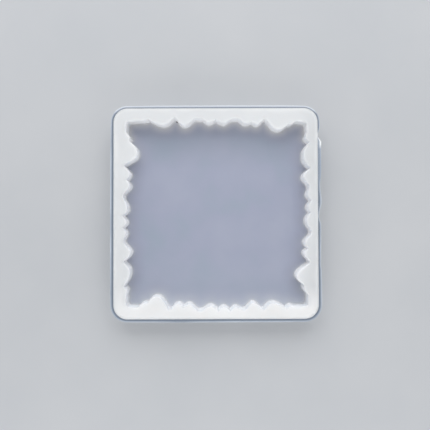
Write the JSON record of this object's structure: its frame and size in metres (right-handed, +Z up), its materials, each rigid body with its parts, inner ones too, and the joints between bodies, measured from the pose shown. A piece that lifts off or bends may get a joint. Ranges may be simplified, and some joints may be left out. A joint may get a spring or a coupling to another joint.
{
  "type": "resin casting mould",
  "caption": "Flexible open-topped silicone mould for casting a rounded-square resin coaster with a scalloped, agate-like edge; thin floor, thick wall, thin trimmed flash round the rim.",
  "frame": {"origin": "under the middle of the mould over everything, the flash counted, in the plane that it rests on", "axes": "+Z up, out of the open cavity; +Y towards the mould's far side along its longer way; +X to the right, towards the side where the flash is torn"},
  "size_m": [0.1164, 0.119, 0.011],
  "materials": {
    "wall_silicone": "milky white translucent silicone, satin",
    "floor_silicone": "thin translucent silicone, lavender grey, satin",
    "flash_silicone": "very thin, nearly clear silicone with a bright cut edge"
  },
  "bodies": {
    "root": {"scalloped_wall": "wall_silicone", "cavity_floor": "floor_silicone", "trimmed_flash": "flash_silicone"}
  },
  "joints": []
}
